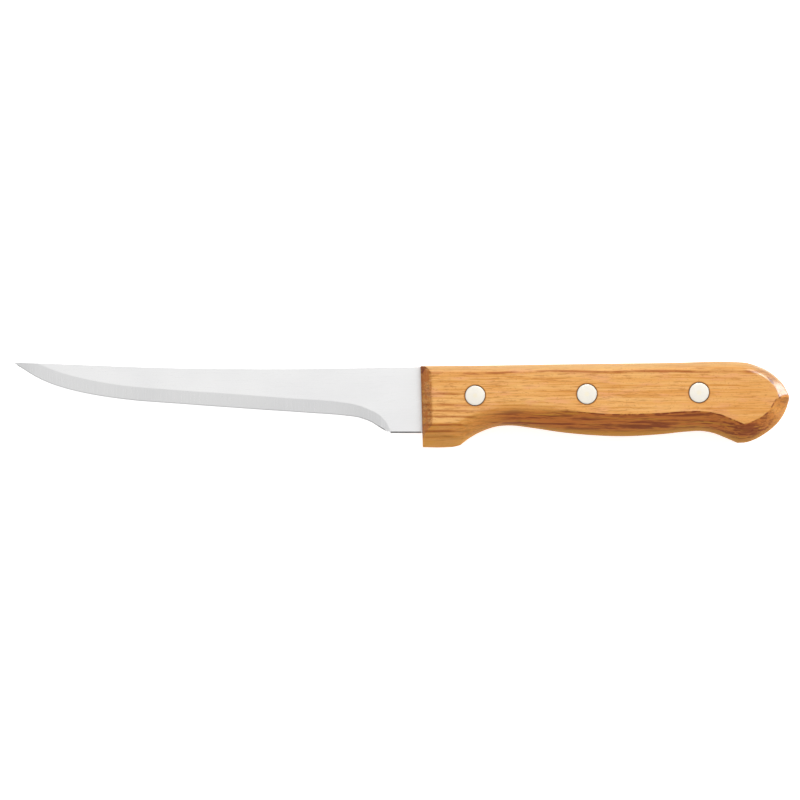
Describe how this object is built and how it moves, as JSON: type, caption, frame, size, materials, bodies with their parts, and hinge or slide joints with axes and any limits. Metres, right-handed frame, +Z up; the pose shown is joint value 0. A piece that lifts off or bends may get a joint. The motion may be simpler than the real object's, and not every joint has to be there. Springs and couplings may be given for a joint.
{
  "type": "boning knife",
  "caption": "Boning knife with a slim curved steel blade, a full tang, and wooden handle scales held by flush two-piece rivets.",
  "frame": {"origin": "centre of the knife's bounding box, on the table it lies on", "axes": "+X along the knife towards the butt, with the tip at -X; +Y across it towards the spine; +Z up through its thickness, out of the left scale"},
  "size_m": [0.2421, 0.0268, 0.0178],
  "materials": {
    "blade_steel": "fine lengthwise satin grind, ground bevel crosswise",
    "handle_wood": "honey-coloured hardwood, satin lacquer",
    "rivet_metal": "satin, ground flush"
  },
  "bodies": {
    "root": {"blade": "blade_steel", "left_scale": "handle_wood", "right_scale": "handle_wood", "front_rivet_tube": "rivet_metal", "front_rivet_pin": "rivet_metal", "middle_rivet_tube": "rivet_metal", "middle_rivet_pin": "rivet_metal", "rear_rivet_tube": "rivet_metal", "rear_rivet_pin": "rivet_metal"}
  },
  "joints": []
}
